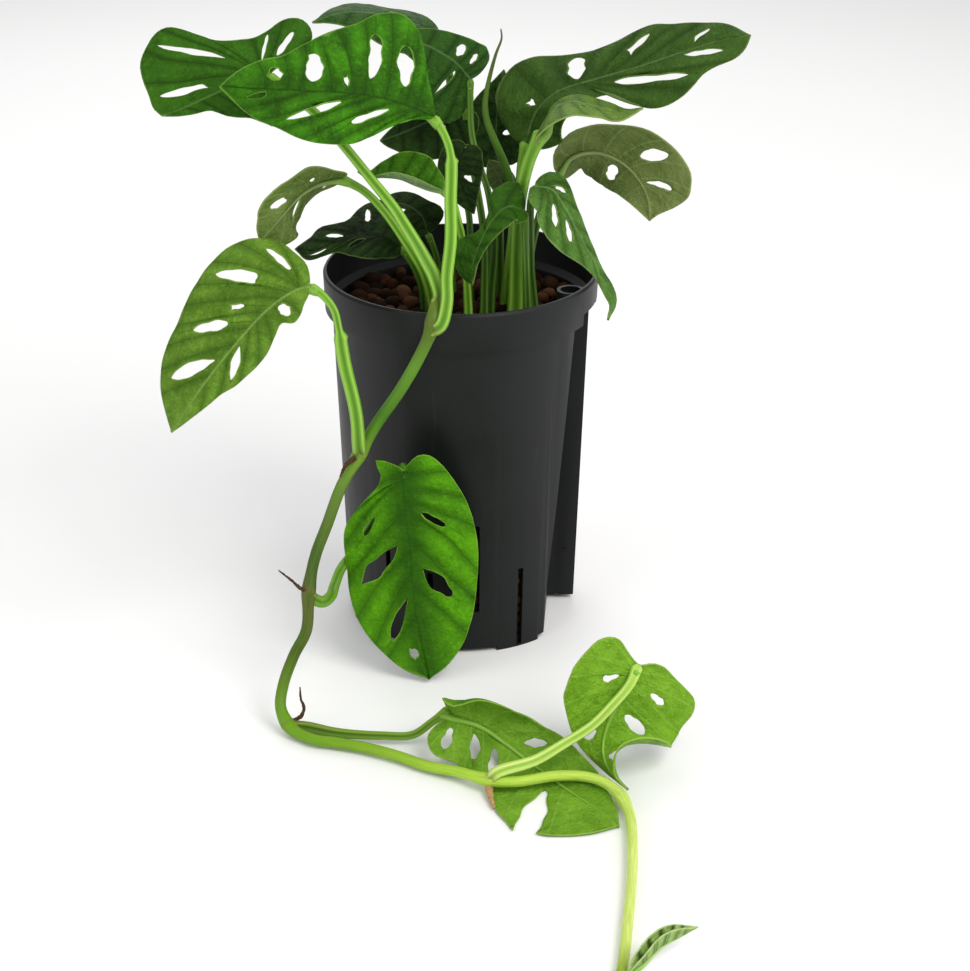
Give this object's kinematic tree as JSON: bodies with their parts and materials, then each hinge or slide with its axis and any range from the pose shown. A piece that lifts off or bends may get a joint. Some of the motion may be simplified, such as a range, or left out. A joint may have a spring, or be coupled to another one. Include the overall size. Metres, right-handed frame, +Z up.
{
  "type": "potted monstera adansonii plant",
  "caption": "Potted climbing plant with perforated leaves on long stalks and one trailing vine, in a tapered slotted pot of clay granules.",
  "frame": {"origin": "centre of the pot's base, on the surface that the pot stands on", "axes": "+Z up along the pot's axis, -Y towards the front where the vine trails down, +X to the right"},
  "size_m": [0.2906, 0.4206, 0.3346],
  "materials": {
    "vine": "smooth, faintly glossy skin",
    "leaf_bright": "satin leaf surface",
    "petiole": "smooth, faintly glossy skin",
    "leaf_dark": "satin leaf surface",
    "leaf_olive": "matt leaf underside",
    "leaf_young": "satin leaf surface",
    "root": "dry and matt",
    "pot": "fine matt texture, a little lighter along the rim edge",
    "clay_granules": "matt porous fired clay"
  },
  "bodies": {
    "root": {"vine": "vine", "leaf_left_high_blade": "leaf_bright", "leaf_left_high_petiole": "petiole", "leaf_far_left_blade": "leaf_dark", "leaf_far_left_petiole": "petiole", "leaf_top_back_blade": "leaf_bright", "leaf_top_back_petiole": "petiole", "leaf_top_middle_blade": "leaf_dark", "leaf_top_middle_petiole": "petiole", "leaf_right_high_blade": "leaf_dark", "leaf_right_high_petiole": "petiole", "leaf_right_arched_blade": "leaf_bright", "leaf_right_arched_petiole": "petiole", "leaf_right_low_blade": "leaf_olive", "leaf_right_low_petiole": "petiole", "leaf_over_rim_blade": "leaf_dark", "leaf_over_rim_petiole": "petiole", "leaf_crown_curled_blade": "leaf_bright", "leaf_crown_curled_petiole": "petiole", "leaf_left_cupped_blade": "leaf_bright", "leaf_left_cupped_petiole": "petiole", "leaf_crown_dark_blade": "leaf_dark", "leaf_crown_dark_petiole": "petiole", "leaf_crown_back_blade": "leaf_dark", "leaf_crown_back_petiole": "petiole", "leaf_crown_left_blade": "leaf_dark", "leaf_crown_left_petiole": "petiole", "leaf_crown_olive_blade": "leaf_olive", "leaf_crown_olive_petiole": "petiole", "leaf_left_arched_blade": "leaf_olive", "leaf_left_arched_petiole": "petiole", "leaf_left_rim_front_blade": "leaf_dark", "leaf_left_rim_front_petiole": "petiole", "leaf_left_rim_back_blade": "leaf_dark", "leaf_left_rim_back_petiole": "petiole", "leaf_hanging_left_blade": "leaf_bright", "leaf_hanging_left_petiole": "petiole", "leaf_hanging_front_blade": "leaf_bright", "leaf_hanging_front_petiole": "petiole", "leaf_trailing_first_blade": "leaf_bright", "leaf_trailing_first_petiole": "petiole", "leaf_trailing_second_blade": "leaf_young", "leaf_trailing_second_petiole": "petiole", "leaf_trailing_young_blade": "leaf_young", "spear_leaf": "leaf_young", "root_upper": "root", "root_middle": "root", "root_lower": "root", "root_floor": "root", "pot": "pot", "granule_bed": "clay_granules"}
  },
  "joints": []
}
